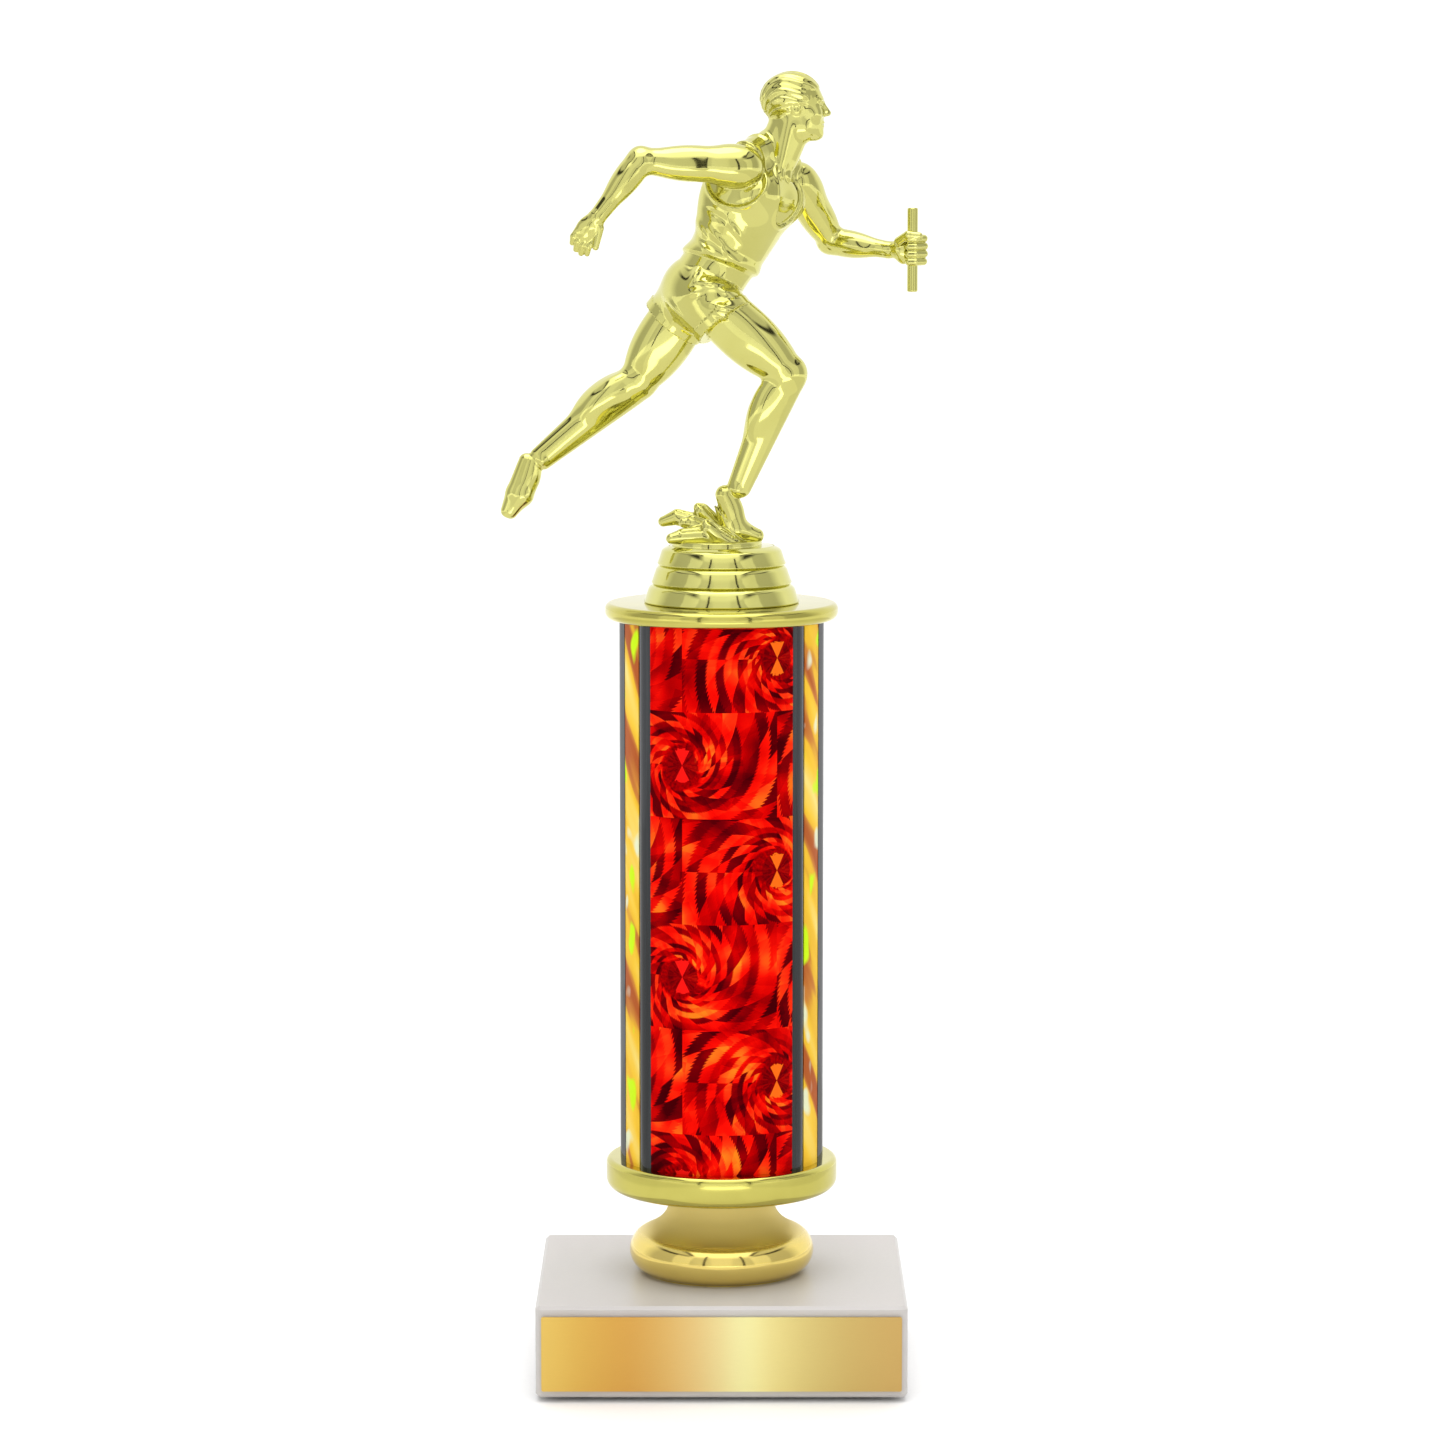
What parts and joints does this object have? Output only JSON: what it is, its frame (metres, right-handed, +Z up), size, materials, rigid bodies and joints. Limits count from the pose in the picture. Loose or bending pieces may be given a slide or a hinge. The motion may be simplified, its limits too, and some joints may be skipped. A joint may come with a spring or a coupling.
{
  "type": "column trophy",
  "caption": "Column trophy: gold relay sprinter on a stepped pedestal over a round red-and-gold foil column, gold lids and riser, and a pale stone base with a blank plate.",
  "frame": {"origin": "centre of the trophy's footprint on the shelf, on the tie rod's axis; the box's centre is about 1 mm to -X of it because the runner's rear foot reaches further out than the baton", "axes": "+Z up; the engraving plate faces -Y; the runner runs towards +X"},
  "size_m": [0.0928, 0.0708, 0.2837],
  "materials": {
    "pad_felt": "dense black felt",
    "pale_stone": "polished pale warm grey marble",
    "plate_gold": "satin gold anodised sheet",
    "tape_foam": "white double-sided tape",
    "zinc_steel": "zinc-plated steel",
    "warm_gold_plating": "vacuum-metallised mirror gold plastic, warm tone",
    "pale_gold_plating": "vacuum-metallised mirror gold plastic, pale tone",
    "figure_gold_plating": "vacuum-metallised mirror gold plastic, pale greenish tone",
    "turned_brass": "turned and knurled brass",
    "black_gloss": "glossy black extruded plastic",
    "red_foil": "red prismatic foil with a swirling flame pattern",
    "gold_foil": "gold prismatic foil with rainbow flecks"
  },
  "bodies": {
    "stand": {"base_pads": "pad_felt", "stone_base": "pale_stone", "nameplate": "plate_gold", "nameplate_tape": "tape_foam", "tie_rod": "zinc_steel", "bottom_washer": "zinc_steel", "bottom_lock_washer": "zinc_steel", "bottom_nut": "zinc_steel", "riser": "warm_gold_plating", "bottom_lid": "pale_gold_plating", "column_tube": "black_gloss", "front_red_foil": "red_foil", "rear_red_foil": "red_foil", "left_gold_foil": "gold_foil", "right_gold_foil": "gold_foil", "top_lid": "pale_gold_plating", "top_washer": "zinc_steel", "top_nut": "zinc_steel"},
    "figure": {"pedestal": "figure_gold_plating", "pedestal_insert": "turned_brass", "runner": "figure_gold_plating", "baton": "figure_gold_plating"}
  },
  "joints": [
    {"name": "figure_turn", "type": "hinge", "parent": "stand", "child": "figure", "pos_m": [0, 0, 0.1694], "axis": [0, 0, 1], "continuous": true}
  ]
}
